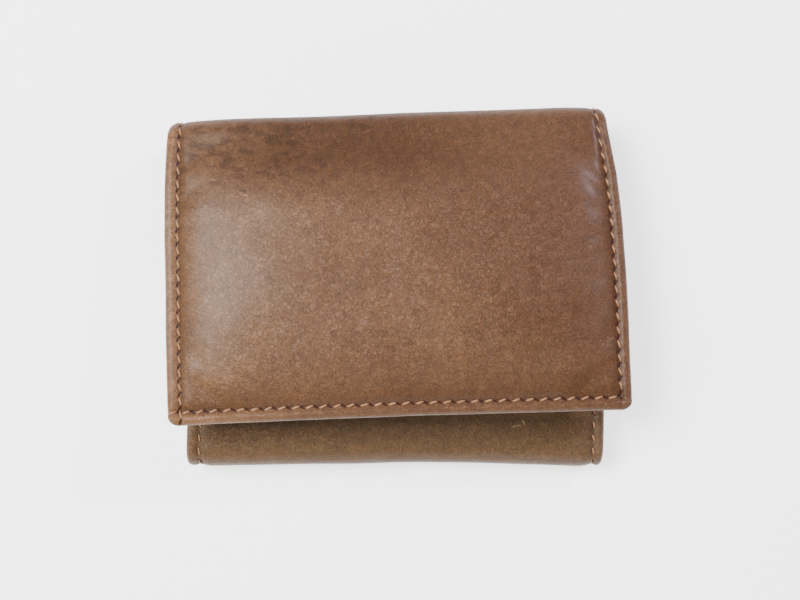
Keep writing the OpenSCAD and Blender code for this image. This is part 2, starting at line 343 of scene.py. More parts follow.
def turned_roll(past_seam, margin):
    """The low roll of a turned edge, between its seam and its rim; past_seam is negative there."""
    roll = np.sin(np.clip(past_seam / margin + 1, 0, 1) * math.pi) ** 1.2
    return np.where(past_seam < 0, roll, 0)


class Pad:
    """The swell of the padded flap: cloth sewn down along its border, blown up and read as heights."""

    COLUMNS, ROWS, FRAMES = 100, 61, 25
    UNIT = 100.0           # millimetres in one unit of the simulation
    CAP, SOFTNESS = 3.1, 1.6   # how high it may stand, and how soon it is held back
    SMOOTHINGS = 3

    def __init__(self, wide, long):
        cloth = self.flat_cloth(wide / self.UNIT, long / self.UNIT)
        self.blow_up(cloth)
        graph = bpy.context.evaluated_depsgraph_get()
        points = cloth.evaluated_get(graph).to_mesh().vertices
        co = np.empty(len(points) * 3)
        points.foreach_get("co", co)
        lift = np.clip(co.reshape(self.ROWS, self.COLUMNS, 3)[:, :, 2] * self.UNIT, 0, None)
        for _ in range(self.SMOOTHINGS):
            inside = (lift[:-2, 1:-1] + lift[2:, 1:-1] + lift[1:-1, :-2] + lift[1:-1, 2:]) / 4
            lift[1:-1, 1:-1] = (lift[1:-1, 1:-1] + inside) / 2
        self.heights = self.CAP * (1 - np.exp(-lift / self.SOFTNESS))
        bpy.data.objects.remove(cloth)
        bpy.context.scene.frame_set(1)

    def flat_cloth(self, wide, long):
        cols = self.COLUMNS
        verts = [(x, y, 0) for y in np.linspace(0, long, self.ROWS) for x in np.linspace(0, wide, cols)]
        faces = [(r * cols + c, r * cols + c + 1, (r + 1) * cols + c + 1, (r + 1) * cols + c)
                 for r in range(self.ROWS - 1) for c in range(cols - 1)]
        mesh = bpy.data.meshes.new("pad_cloth")
        mesh.from_pydata(verts, [], faces)
        cloth = bpy.data.objects.new("pad_cloth", mesh)
        bpy.context.scene.collection.objects.link(cloth)
        sewn = cloth.vertex_groups.new(name="sewn")
        border = [r * cols + c for r in range(self.ROWS) for c in range(cols)
                  if r in (0, self.ROWS - 1) or c in (0, cols - 1)]
        sewn.add(border, 1.0, "REPLACE")
        return cloth

    def blow_up(self, cloth):
        modifier = cloth.modifiers.new("cloth", "CLOTH")
        stuff = modifier.settings
        stuff.quality = 6
        stuff.mass = 0.3
        stuff.tension_stiffness = stuff.compression_stiffness = 30
        stuff.shear_stiffness = 8
        stuff.bending_stiffness = 2.0
        stuff.use_pressure = True
        stuff.uniform_pressure_force = 3.0
        stuff.vertex_group_mass = "sewn"
        stuff.shrink_min = -0.010
        stuff.air_damping = 2
        stuff.effector_weights.gravity = 0
        modifier.collision_settings.use_collision = False
        modifier.point_cache.frame_end = self.FRAMES
        for number in range(1, self.FRAMES + 1):
            bpy.context.scene.frame_set(number)

    def height(self, u, v):
        """Heights at shares u across and v down the sewn area; nothing outside it."""
        col = np.clip(u, 0, 1) * (self.COLUMNS - 1)
        row = np.clip(v, 0, 1) * (self.ROWS - 1)
        c = np.minimum(col.astype(int), self.COLUMNS - 2)
        r = np.minimum(row.astype(int), self.ROWS - 2)
        a, b = col - c, row - r
        h = self.heights
        upper = h[r, c] * (1 - a) + h[r, c + 1] * a
        lower = h[r + 1, c] * (1 - a) + h[r + 1, c + 1] * a
        return upper * (1 - b) + lower * b


SIDE_PLACES = (-22, -8, 2, 12, 24, 46, 66)     # past the fold, where a side's belly is given


class Panel:
    """How one half of the strip has worn.

    full is its height between seams and crown the extra height of its middle. grown says how far the free
    edge has moved out at its ends and its middle. left and right say how far each side stands out at
    SIDE_PLACES. bow says how far the fold's line is drawn in at its middle, then a dent's place, width and
    depth, then where its ends begin to turn in.
    """

    def __init__(self, run, full, crown, seed, grown, left, right, bow, pad=None):
        self.run, self.full, self.crown, self.seed, self.pad = run, full, crown, seed, pad
        self.grown, self.left, self.right, self.bow = grown, left, right, bow

    def relief(self, from_side, across, along):
        """Rise of the outer face over the CAD shell's outer face, before its edges are rounded."""
        run = self.run
        gone = along - run.panel_at
        lateral = across * HALF_WIDTH
        margin = side_margin(across)
        side = from_side - margin
        end = run.panel_l - gone - END_MARGIN
        uneven = gone + 2.5 * ruffle(24, self.seed + 8, lateral, gone)
        swell = smooth(-3, 17, uneven)
        lumps = 1 + 0.14 * ruffle(26, self.seed, lateral, gone)
        lumps = lumps + 0.05 * ruffle(9, self.seed + 1, lateral, gone)
        if self.pad:
            width = run.width(along)
            from_left = np.where(across < 0, from_side, width - from_side) - LEFT_MARGIN
            inner = width - LEFT_MARGIN - RIGHT_MARGIN
            blown = self.pad.height(from_left / inner, gone / (run.panel_l - END_MARGIN))
            rise = np.sin(np.clip((uneven + 1) / 21, 0, 1) * math.pi / 2) * blown * lumps
        else:
            rise = swell * well_up(side, 3.6) * well_up(end, 3.8) * lumps * self.full
        rise = rise + self.crown * swell * (1 - across ** 2) * well_up(end, 14)
        spine = smooth(0, 4, along) * (1 - smooth(-4, 6, gone))
        rise = rise + 0.5 * spine * well_up(side, 4) * (1 + 0.3 * ruffle(18, self.seed + 2, lateral, along))
        rise = rise - stitch_pull(side, 0.7, gone) - stitch_pull(end, 0.75, across * run.w1 / 2)
        side_roll = 0.22 * smooth(0, 3, along) * turned_roll(side, margin)
        end_roll = 0.30 * turned_roll(end, END_MARGIN) * (1 + 0.25 * ruffle(5, self.seed + 5, lateral))
        return rise + np.maximum(side_roll, end_roll) + self.sag(across, along)

    def sag(self, across, along):
        """Rise of every layer together: the fold's line drawn in at its middle, and a dent beside it."""
        spine = smooth(-3, 3, along) * (1 - smooth(-4, 7, along - self.run.panel_at))
        low, place, wide, dent, tip = self.bow
        drawn = low * (1 - np.abs(across) ** 3) + 0.6 * smooth(tip, 1, np.abs(across))
        return -spine * (drawn + 0.25 * low * ruffle(16, self.seed + 6, across * HALF_WIDTH)
                         + dent * groove(across - place, wide))

    def shape(self, across, along):
        """Across and along on the worn outline: bellied sides, and a free edge that stands out."""
        run = self.run
        gone = along - run.panel_at
        share = np.clip(gone / run.panel_l, 0, 1)
        ends, middle = self.grown
        grown = (ends + (middle - ends) * (1 - across ** 2)) * share
        belly = np.where(across < 0, np.interp(gone, SIDE_PLACES, self.left),
                         np.interp(gone, SIDE_PLACES, self.right))
        wave = 0.16 * ruffle(15, self.seed + 3, np.sign(across) * 40, along) * smooth(-8, 2, along)
        edge_wave = 0.14 * ruffle(13, self.seed + 4, across * HALF_WIDTH) * share ** 6
        out = np.sign(across) * (belly + wave) * np.abs(across) ** 3
        return across + out / (run.w0 / 2), along + grown + edge_wave


PAD = Pad(TOP.w1 - LEFT_MARGIN - RIGHT_MARGIN, TOP.panel_l - END_MARGIN)
FLAP = Panel(TOP, full=2.8, crown=0.7, seed=3, grown=(0.9, 0.5), left=(0, -0.2, 0.4, 0.7, 0.7, 0.3, -0.2),
             right=(0, -1.2, -0.5, 0.8, 1.3, 1.15, 0.4), bow=(-0.12, -0.35, 0.3, 0.2, 0.95), pad=PAD)
TUCK = Panel(BOTTOM, full=0.9, crown=0.35, seed=11, grown=(0.4, 0.4), left=(0, 0.3, 0.4, 0.4, 0.2, 0, 0),
             right=(0, -0.4, 0.1, 0.5, 0.3, 0, 0), bow=(1.35, 0.25, 0.3, 0.1, 0.87))


def round_corner(from_side, from_end):
    """Distances from a side and from a free edge, moved so that the square corner becomes a round one."""
    near = (from_side < CORNER) & (from_end < CORNER)
    p = (CORNER - from_side) / CORNER
    q = (CORNER - from_end) / CORNER
    size = np.maximum(np.hypot(p, q), 1e-9)
    pull = np.where(near, np.maximum(p, q) / size, 1)
    side = np.where(near, CORNER - p * pull * CORNER, from_side)
    end = np.where(near, CORNER - q * pull * CORNER, from_end)
    return side, end


def stations(run, low, stop, step, back_step):
    """Places along the strip from low to stop, with one wherever a bend starts or ends."""
    knots = [k for k in (0, run.bend1, run.bend1 + run.spine, run.panel_at) if low < k < stop]
    along = []
    for a, b in zip([low] + knots, knots + [stop]):
        along += list(spaced(a, b, step if b > 0 else back_step))[:-1]
    return along + [stop]


def shell_piece(name, panel, low, high, material):
    """A stretch of shell leather from low to high along its run, with its turned and rounded edges."""
    run = panel.run
    with_end = high >= run.end - 0.01
    along = stations(run, low, run.end - EDGE_STEPS[-1] if with_end else high, SHELL_STEP, BACK_STEP)
    if with_end:
        along = along[:-1] + list(run.end - EDGE_STEPS[::-1])
    along = np.array(along)[:, None]
    width = run.width(along)
    from_left = across_places(run.w0, SHELL_STEP)[None, :] * (width / run.w0)
    from_side = np.minimum(from_left, width - from_left)
    from_end = np.broadcast_to(run.end - along, from_side.shape)
    rim = np.minimum(from_side, from_end)
    left = from_left < width / 2
    side, end = round_corner(from_side, from_end)
    across = np.where(left, -1, 1) * (1 - 2 * side / width)
    along = run.end - end
    across_w, along_w = panel.shape(across, along)
    rise = panel.relief(from_side, across, along)
    q = np.sqrt(1 - np.clip(1 - rim / EDGE_ROUND, 0, 1) ** 2)
    outer_rise = rise - TURNED / 2 + TURNED / 2 * q
    thick = (TURNED + (LEATHER - TURNED) * smooth(2.4, 4.5, rim)) * q
    inner_rise = outer_rise - thick
    on_back = 1 - smooth(-1, 1, along)
    outer_rise = outer_rise - on_back * np.clip(outer_rise, 0, None)
    outer = run.place(across_w, along_w, outer_rise)
    inner = run.place(across_w, along_w, inner_rise)
    piece, picked = closed_sheet(name, outer, inner, material, (False, with_end, True, True))
    lateral = across * width / 2
    skin = np.stack([lateral * MM, along * MM, np.full_like(lateral, panel.seed)], -1)
    gone = along - run.panel_at
    margin = side_margin(across)
    runs_off = left & (panel is FLAP)
    bare_side = np.where(runs_off | (from_end > END_MARGIN - 0.5), 0.0, NO_HOLE)
    bare_end = np.where(runs_off | (from_side > margin - 0.5), 0.0, NO_HOLE)
    seam_side = np.stack([np.where(left, gone, -gone), from_side - margin, bare_side], -1)
    seam_end = np.stack([lateral, from_end - END_MARGIN + np.where(gone < 0, 50, 0), bare_end], -1)
    for label, values in (("skin", skin), ("seam_side", seam_side), ("seam_end", seam_end), ("rim", rim),
                          ("gone", gone)):
        give_attribute(piece, label, values, picked)
    return piece


def cloth_piece(name, panel, low, high, depth, material):
    """A stretch of lining or divider cloth at a depth under the shell's outer face."""
    run = panel.run
    along = stations(run, low, min(high, run.end - INNER_INSET), CLOTH_STEP, CLOTH_STEP)
    along = np.array(along)[:, None]
    low_x, high_x = INNER_INSET, run.w0 - INNER_INSET
    edge = np.concatenate([[low_x], spaced(low_x + 0.3, high_x - 0.3, 2 * CLOTH_STEP), [high_x]])
    across = -1 + 2 * edge[None, :] / run.w0 + 0 * along
    across_w, along_w = panel.shape(across, along)
    sag = panel.sag(across, along)
    outer = run.place(across_w, along_w, sag - depth)
    inner = run.place(across_w, along_w, sag - depth - CLOTH_SHOWN)
    return closed_sheet(name, outer, inner, material, CUT_SIDES)[0]


# ---- Materials ----

class Nodes:
    """Short calls that add shader nodes to one material."""

    def __init__(self, name):
        self.material = bpy.data.materials.new(name)
        self.material.use_nodes = True
        self.tree = self.material.node_tree
        self.tree.nodes.clear()
        self.shader = self.tree.nodes.new("ShaderNodeBsdfPrincipled")
        self.out = self.tree.nodes.new("ShaderNodeOutputMaterial")
        self.tree.links.new(self.shader.outputs[0], self.out.inputs[0])

    def link(self, value, socket):
        if isinstance(value, bpy.types.NodeSocket):
            self.tree.links.new(value, socket)
        elif value is not None:
            socket.default_value = value

    def add(self, kind, inputs=None, output=0, **settings):
        node = self.tree.nodes.new(kind)
        for key, value in settings.items():
            setattr(node, key, value)
        for key, value in (inputs or {}).items():
            self.link(value, node.inputs[key])
        return node.outputs[output]

    def math(self, operation, *values):
        return self.add("ShaderNodeMath", dict(enumerate(values)), operation=operation)

    def plus(self, a, b):
        return self.math("ADD", a, b)

    def minus(self, a, b):
        return self.math("SUBTRACT", a, b)

    def times(self, a, b):
        return self.math("MULTIPLY", a, b)

    def divided(self, a, b):
        return self.math("DIVIDE", a, b)

    def power(self, a, b):
        return self.math("POWER", a, b)

    def most(self, a, b):
        return self.math("MAXIMUM", a, b)

    def size_of(self, a):
        return self.math("ABSOLUTE", a)

    def fraction(self, a):
        return self.math("FRACT", a)

    def attribute(self, name, output="Vector"):
        node = self.tree.nodes.new("ShaderNodeAttribute")
        node.attribute_name = name
        return node.outputs[output]

    def object_place(self):
        return self.add("ShaderNodeTexCoord", output="Object")

    def stretched(self, vector, scale):
        return self.add("ShaderNodeMapping", {"Vector": vector, "Scale": scale})

    def noise(self, vector, scale, detail=3.0, rough=0.55, distort=0.0):
        return self.add("ShaderNodeTexNoise", {"Vector": vector, "Scale": scale, "Detail": detail,
                                               "Roughness": rough, "Distortion": distort}, "Fac")

    def cells(self, vector, scale):
        return self.add("ShaderNodeTexVoronoi", {"Vector": vector, "Scale": scale}, "Distance")

    def span(self, value, low, high, to_low=0.0, to_high=1.0):
        return self.add("ShaderNodeMapRange", {"Value": value, "From Min": low, "From Max": high,
                                               "To Min": to_low, "To Max": to_high}, clamp=True)

    def mix(self, factor, a, b):
        node = self.tree.nodes.new("ShaderNodeMix")
        node.data_type = "RGBA"
        self.link(factor, node.inputs["Factor"])
        self.link(a, node.inputs[6])
        self.link(b, node.inputs[7])
        return node.outputs[2]

    def bump(self, height, strength, distance, normal=None):
        return self.add("ShaderNodeBump", {"Height": height, "Strength": strength, "Distance": distance,
                                           "Normal": normal})

    def set(self, **sockets):
        names = {"color": "Base Color", "rough": "Roughness", "normal": "Normal", "sheen": "Sheen Weight",
                 "sheen_rough": "Sheen Roughness", "sheen_tint": "Sheen Tint", "coat": "Coat Weight",
                 "coat_rough": "Coat Roughness", "specular": "Specular IOR Level", "ior": "IOR",
                 "transmission": "Transmission Weight"}
        for key, value in sockets.items():
            self.link(value, self.shader.inputs[names[key]])
        return self.material


def rgb(r, g, b):
    """A linear colour from a plain 0..255 one."""
    return tuple((c / 255) ** 2.2 for c in (r, g, b)) + (1.0,)


def needle_holes(n, seam, pitch):
    """1 in each needle hole of a seam, in millimetres, and the distance in from the seam.

    In the seam's coordinates x runs along it, y is the way in from it and z is above 0 where it has no holes.
    """
    x = n.add("ShaderNodeSeparateXYZ", {0: seam})
    y = x.node.outputs[1]
    slanted = n.plus(x, n.times(y, 1.1))
    turn = n.fraction(n.plus(n.divided(slanted, pitch), 0.5))
    along = n.times(n.minus(turn, 0.5), pitch)
    far = n.plus(n.power(n.size_of(n.divided(along, 0.50)), 2.0),
                 n.power(n.size_of(n.divided(y, 0.48)), 2.0))
    return n.span(n.plus(far, x.node.outputs[2]), 1.25, 0.7), y


def nick(n, skin, x, y, long, wide, turn):
    """1 on a small scar at a place on the skin, in millimetres, turned by so many degrees."""
    local = n.add("ShaderNodeMapping", {"Vector": skin, "Location": (x * MM, y * MM, 0),
                                        "Rotation": (0, 0, math.radians(turn)),
                                        "Scale": (long * MM, wide * MM, 1)}, vector_type="TEXTURE")
    flat = n.add("ShaderNodeVectorMath", {0: local, 1: (1, 1, 0)}, operation="MULTIPLY")
    reach = n.add("ShaderNodeVectorMath", {0: flat}, "Value", operation="LENGTH")
    return n.span(reach, 1.0, 0.4)


def shaded(colour, share):
    """The same colour, darker, or lighter for a share over 1."""
    return tuple(c * share for c in colour[:3]) + (1.0,)


BACK_TONE = rgb(78, 54, 33)
HOLE_SHADE_TONE = rgb(48, 25, 11)


def shell_leather(name, left, right, dull, shade_and_pit_tone, left_rim, rim_tone, fold_mark, nicks=()):
    """Waxed pull-up leather: cloudy colour, fine grain, pores and paler turned edges, with painted shade in
    the seam valleys, in the needle holes and by the top fold, a right side darker partly by tone and partly
    by painted shade, and, without fold marks, painted light on the strip under the flap's edge.
    """
    n = Nodes(name)
    skin = n.attribute("skin")
    lateral = n.add("ShaderNodeSeparateXYZ", {0: skin})
    clouds = n.noise(skin, 30, 4, 0.6, 0.6)
    blotch = n.noise(skin, 110, 5, 0.68, 0.3)
    mottle = n.noise(skin, 460, 4, 0.65)
    fine = n.noise(skin, 2100, 4, 0.75)
    dust = n.noise(skin, 3400, 2, 0.6)
    grain = n.cells(skin, 1800)
    gone = n.attribute("gone", "Fac")
    rim = n.attribute("rim", "Fac")
    side_hole, side_gap = needle_holes(n, n.attribute("seam_side"), PITCH)
    end_hole, end_gap = needle_holes(n, n.attribute("seam_end"), PITCH)
    holes = n.most(side_hole, end_hole)
    drift = n.times(n.minus(clouds, 0.5), 0.10)
    # darker towards the right: partly the leather's redder tone, partly painted shade for the left lamps
    # lighting it less
    colour = n.mix(n.span(n.plus(lateral, drift), -0.035, 0.045), left, right)
    dulled = n.span(blotch, 0.38, 0.66, 0.0, 0.7)
    colour = n.mix(dulled, colour, dull)
    on_back = n.span(gone, -30, -50)
    colour = n.mix(on_back, colour, n.mix(dulled, BACK_TONE, shaded(BACK_TONE, 0.85)))
    # painted shade: a darker, redder brown in the valleys where the padded leather dips to its end seam and
    # side seams
    end_seam_shade = n.power(n.times(n.span(end_gap, 8.0, 0.0), n.span(end_gap, -0.6, 0.0)), 1.5)
    side_seam_shade = n.power(n.times(n.span(side_gap, 4.5, 0.0), n.span(side_gap, -0.6, 0.0)), 1.5)
    seam_valley_shade = n.most(end_seam_shade, n.times(side_seam_shade, 0.75))
    seam_valley_shade = n.times(seam_valley_shade, n.span(mottle, 0.25, 0.6, 0.72, 1.0))
    colour = n.mix(n.times(seam_valley_shade, 0.8), colour, shade_and_pit_tone)
    fold_edge = n.plus(gone, n.times(n.minus(clouds, 0.5), 16))
    wrinkled = n.times(n.span(fold_edge, 20, 8), fold_mark)
    off_middle = n.size_of(n.plus(lateral, 0.011))
    # darker by the top fold: darker wrinkled grain, and painted shade where the flap curves over the fold
    fold_dark_and_shade = n.times(wrinkled, n.span(off_middle, 0.044, 0.014, 0.15, 1.0))
    flat_skin = n.stretched(skin, (0.65, 1.3, 1))
    fleck = n.span(n.noise(flat_skin, 430, 1.5, 0.4, 0.2), 0.51, 0.60)
    where = n.span(n.minus(n.noise(skin, 45, 2, 0.5), n.times(lateral, 7)), 0.46, 0.66)
    pits = n.times(n.times(fleck, wrinkled), n.span(where, 0, 1, 0.03, 0.9))
    colour = n.mix(n.times(fold_dark_and_shade, 0.85), colour, shaded(shade_and_pit_tone, 0.85))
    colour = n.mix(n.times(pits, 0.56), colour, shaded(shade_and_pit_tone, 0.45))
    if not fold_mark:
        # painted light: the strip lighter just under the flap's free edge, where the flap's shadow falls, and
        # near its bottom fold
        painted_light_on_strip = n.most(n.span(gone, 3.5, 0.0, 0.0, 0.25), n.span(gone, 7.5, 10.5))
        colour = n.mix(n.times(painted_light_on_strip, 0.9), colour, shaded(rim_tone, 1.7))
    # the left border lighter than the right: partly tone, partly painted light from the left lamps
    border = n.mix(n.span(lateral, -0.045, -0.022), left_rim, rim_tone)
    border = n.mix(on_back, border, shaded(BACK_TONE, 1.2))
    for gap in (side_gap, end_gap):
        outside = n.times(n.span(gap, -0.3, -0.9), n.span(mottle, 0.2, 0.6, 0.55, 1.0))
        colour = n.mix(n.times(outside, 0.55), colour, border)
    worn = n.times(n.span(rim, 0.9, 0.15), n.span(mottle, 0.35, 0.6))
    colour = n.mix(n.times(worn, 0.45), colour, border)
    shade = n.plus(n.span(fine, 0.38, 0.62, -0.19, 0.19), n.span(dust, 0.38, 0.62, -0.14, 0.14))
    shade = n.plus(n.plus(shade, n.span(mottle, 0.36, 0.64, -0.15, 0.15)), 1.0)
    colour = n.add("ShaderNodeHueSaturation", {"Value": shade, "Color": colour})
    for x, y, long, wide, turn, tone in nicks:
        mark = nick(n, skin, x, y, long, wide, turn)
        colour = n.mix(n.times(mark, 0.7), colour, tone)
    # painted shade in the needle holes, which are only bumps in the surface
    colour = n.mix(n.times(holes, 0.92), colour, HOLE_SHADE_TONE)
    rough = n.plus(n.span(blotch, 0.35, 0.65, 0.38, 0.50), n.times(wrinkled, 0.18))
    rough = n.plus(rough, n.times(n.minus(fine, 0.5), 0.25))
    rough = n.plus(rough, n.times(n.plus(seam_valley_shade, n.times(holes, 4.0)), 0.12))
    crackle = n.span(n.size_of(n.minus(n.noise(skin, 1150, 3, 0.6, 1.1), 0.5)), 0.0, 0.07)
    creases = n.noise(n.stretched(skin, (0.35, 1.6, 1)), 900, 3, 0.6, 0.4)
    height = n.plus(n.times(n.span(grain, 0.0, 0.55), 0.5), n.times(fine, 0.9))
    height = n.plus(height, n.times(crackle, 0.7))
    height = n.plus(height, n.times(n.times(creases, 1.6), n.most(wrinkled, end_seam_shade)))
    height = n.minus(height, pits)
    height = n.minus(height, n.times(holes, 4.0))
    normal = n.bump(height, 0.85, 0.00015)
    normal = n.bump(n.noise(skin, 230, 3, 0.5), 0.35, 0.0006, normal)
    return n.set(color=colour, rough=rough, normal=normal, sheen=0.05, sheen_rough=0.4,
                 sheen_tint=rgb(235, 215, 210), coat=0.10, coat_rough=0.30, specular=0.22)


def pocket_leather(name, tone):
    """Thin, smooth leather for the pockets and the window's frame."""
    n = Nodes(name)
    place = n.object_place()
    cloud = n.noise(place, 60, 4, 0.6)
    fine = n.noise(place, 1800, 3, 0.6)
    grain = n.cells(place, 1500)
    colour = n.mix(n.span(cloud, 0.3, 0.7), tone, shaded(tone, 0.72))
    colour = n.mix(n.span(fine, 0.5, 0.75, 0.0, 0.35), colour, shaded(tone, 0.5))
    height = n.plus(n.times(n.span(grain, 0.0, 0.6), 0.6), n.times(fine, 0.4))
    return n.set(color=colour, rough=n.span(cloud, 0.3, 0.7, 0.46, 0.6), normal=n.bump(height, 0.5, 0.0001),
                 sheen=0.06, sheen_rough=0.4, specular=0.4)


def woven_cloth(name, tone):
    """Plain weave lining, about two threads to the millimetre."""
    n = Nodes(name)
    place = n.object_place()
    over, under = [n.add("ShaderNodeTexWave", {"Vector": place, "Scale": 320.0, "Distortion": 0.4}, "Fac",
                         wave_type="BANDS", bands_direction=way) for way in ("X", "Y")]
    weave = n.most(over, under)
    dust = n.noise(place, 240, 4, 0.6)
    colour = n.mix(n.span(weave, 0.2, 1.0), shaded(tone, 0.45), tone)
    colour = n.mix(n.span(dust, 0.4, 0.75, 0.0, 0.3), colour, shaded(tone, 1.7))
    return n.set(color=colour, rough=0.82, normal=n.bump(weave, 0.6, 0.00012), sheen=0.25, sheen_rough=0.5)


def twisted_thread(name, tone):
    """Waxed sewing thread."""
    n = Nodes(name)
    place = n.object_place()
    fibre = n.noise(place, 2600, 3, 0.6)
    tint = n.noise(place, 90, 2, 0.5)
    colour = n.mix(n.span(fibre, 0.35, 0.7), shaded(tone, 0.62), tone)
    colour = n.mix(n.span(tint, 0.35, 0.65, 0.0, 0.5), colour, rgb(122, 78, 46))
    return n.set(color=colour, rough=0.55, normal=n.bump(fibre, 0.5, 0.00008), sheen=0.2, sheen_rough=0.4)


def pressed_fibre(name, tone, scale):
    """Bonded board or felt that lies sealed between the layers."""
    n = Nodes(name)
    place = n.object_place()
    fleck = n.noise(place, scale, 5, 0.7, 0.5)
    colour = n.mix(n.span(fleck, 0.35, 0.7), tone, shaded(tone, 0.6))
    return n.set(color=colour, rough=0.9, normal=n.bump(fleck, 0.5, 0.0002))


def clear_film(name):
    """Soft clear window film with faint ripples and scuffs."""
    n = Nodes(name)
    place = n.object_place()
    ripple = n.noise(place, 45, 2, 0.5)
    scuff = n.noise(n.stretched(place, (1, 6, 1)), 400, 4, 0.7)
    return n.set(color=rgb(236, 238, 240), rough=n.span(scuff, 0.5, 0.8, 0.06, 0.25),
                 normal=n.bump(ripple, 0.25, 0.0008), transmission=0.92, ior=1.45)


# left and right tones: the right darker, partly by the leather's tone and partly by painted shade
HIDE = shell_leather("waxed_brown_leather", left=rgb(97, 71, 48), right=rgb(71, 47, 27),
                     dull=rgb(78, 56, 38), shade_and_pit_tone=rgb(65, 41, 17), left_rim=rgb(115, 84, 56),
                     rim_tone=rgb(80, 56, 35), fold_mark=1.0,
                     nicks=((-33.5, TOP.panel_at + 14.0, 1.1, 0.35, 20, rgb(34, 20, 12)),
                            (16.2, TOP.panel_at + 15.8, 0.6, 0.45, 0, rgb(34, 20, 12)),
                            (-33.0, TOP.panel_at + 15.0, 0.9, 0.25, 15, rgb(150, 110, 84))))
# a darker copy of the leather for the tuck strip and the lower back: partly duller leather, partly painted
# shade for the strip under the flap
HIDE_DULL_SHADED = shell_leather("waxed_brown_leather_dull_shaded", left=rgb(82, 62, 41), right=rgb(69, 52, 33),
                          dull=rgb(69, 52, 34), shade_and_pit_tone=rgb(66, 50, 34), left_rim=rgb(84, 65, 45),
                          rim_tone=rgb(82, 64, 44), fold_mark=0.0,
                          nicks=((30.5, BOTTOM.panel_at + 7.0, 1.0, 0.28, -60, rgb(140, 118, 90)),
                                 (28.8, BOTTOM.panel_at + 6.2, 1.6, 0.25, 10, rgb(122, 102, 78))))
POCKET = pocket_leather("pocket_leather", rgb(84, 52, 33))
LINING = woven_cloth("lining_cloth", rgb(66, 48, 36))
THREAD = twisted_thread("tan_thread", rgb(148, 110, 74))
BOARD = pressed_fibre("fibre_board", rgb(168, 140, 108), 700)
FELT = pressed_fibre("felt_padding", rgb(186, 172, 150), 300)
FILM = clear_film("window_film")


# ---- Shell, lining and divider ----

def bend_ends(run, depth, on_panel):
    """Where a piece at that depth starts and stops turning: over the lower fold or over the upper one."""
    middle = run.place(0.0, run.mid_spine, -depth)
    if on_panel:
        return middle * MM, run.place(0.0, run.panel_at + BACK_SPREAD, -depth) * MM
    return run.place(0.0, -BACK_SPREAD, -depth) * MM, middle * MM


Stretch = namedtuple("Stretch", "ending panel low high before after leather slot nodes seam_nodes")
STRETCHES = (
    Stretch("back_upper", FLAP, -HALF_BACK, TOP.mid_spine, "back_panel", "top_spine", HIDE, "shell_leather",
            ("back_{0}", "top_lower_bend_{0}", "top_spine_{0}"), ("back_stitching", "top_spine_stitching")),
    Stretch("flap", FLAP, TOP.mid_spine, TOP.end, "top_spine", "flap", HIDE, "shell_leather",
            ("top_upper_bend_{0}", "flap_{0}"), ("flap_stitching",)),
    Stretch("back_lower", TUCK, -HALF_BACK, BOTTOM.mid_spine, "back_panel", "bottom_spine", HIDE_DULL_SHADED,
            "shell_leather", ("bottom_lower_bend_{0}", "bottom_spine_{0}"), ("bottom_spine_stitching",)),
    Stretch("tuck", TUCK, BOTTOM.mid_spine, BOTTOM.end, "bottom_spine", "tuck_panel", HIDE_DULL_SHADED,
            "tuck_leather", ("bottom_upper_bend_{0}", "tuck_{0}"), ("tuck_stitching",)),
)


def hang(piece, stretch, depth, nodes):
    """Bends a piece of the strip between the two bodies that it joins, and hides the CAD parts that it stands
    for.
    """
    start, end = bend_ends(stretch.panel.run, depth, stretch.low > 0)
    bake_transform(piece, stretch.before, stretch.after, start=tuple(start), end=tuple(end))
    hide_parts(*nodes)


def make_shell():
    for part in STRETCHES:
        piece = shell_piece("shell_" + part.ending, part.panel, part.low, part.high, part.leather)
        hang(piece, part, LEATHER, [n.format("leather") for n in part.nodes])


def make_cloths():
    for kind, depth in (("lining", LINING_AT), ("divider", LINING_AT + CLOTH)):
        for part in STRETCHES:
            piece = cloth_piece(kind + "_" + part.ending, part.panel, part.low, part.high, depth, LINING)
            hang(piece, part, depth + CLOTH, [n.format(kind) for n in part.nodes])


make_shell()
make_cloths()


# ---- Thread ----

STITCH_L = 2.15
THREAD_W = 0.44
SLANT = 0.30           # how far a stitch turns from its seam, in radians, and how much that varies
UNEVEN = 0.09


def one_stitch():
    """A short length of two-ply thread that dives into the leather at both ends."""
    rings, sides = 8, 8
    verts, faces = [], []
    for i in range(rings):
        t = -1 + 2 * i / (rings - 1)
        x = t * STITCH_L / 2
        z = 0.24 * (1 - abs(t) ** 2.6) - 0.30 * abs(t) ** 3
        for k in range(sides):
            a = 2 * math.pi * k / sides
            ply = 0.80 + 0.24 * abs(math.cos(a - 2.1 * t))
            reach = THREAD_W / 2 * ply * (1 - 0.35 * abs(t) ** 4)
            verts.append((x, reach * math.cos(a), z + reach * math.sin(a) * 0.8))
    for i in range(rings - 1):
        for k in range(sides):
            j = (k + 1) % sides
            faces.append((i * sides + k, i * sides + j, (i + 1) * sides + j, (i + 1) * sides + k))
    faces += [tuple(range(sides)), tuple(range((rings - 1) * sides, rings * sides))]
    return finish_mesh("stitch_pattern", verts, faces, THREAD)


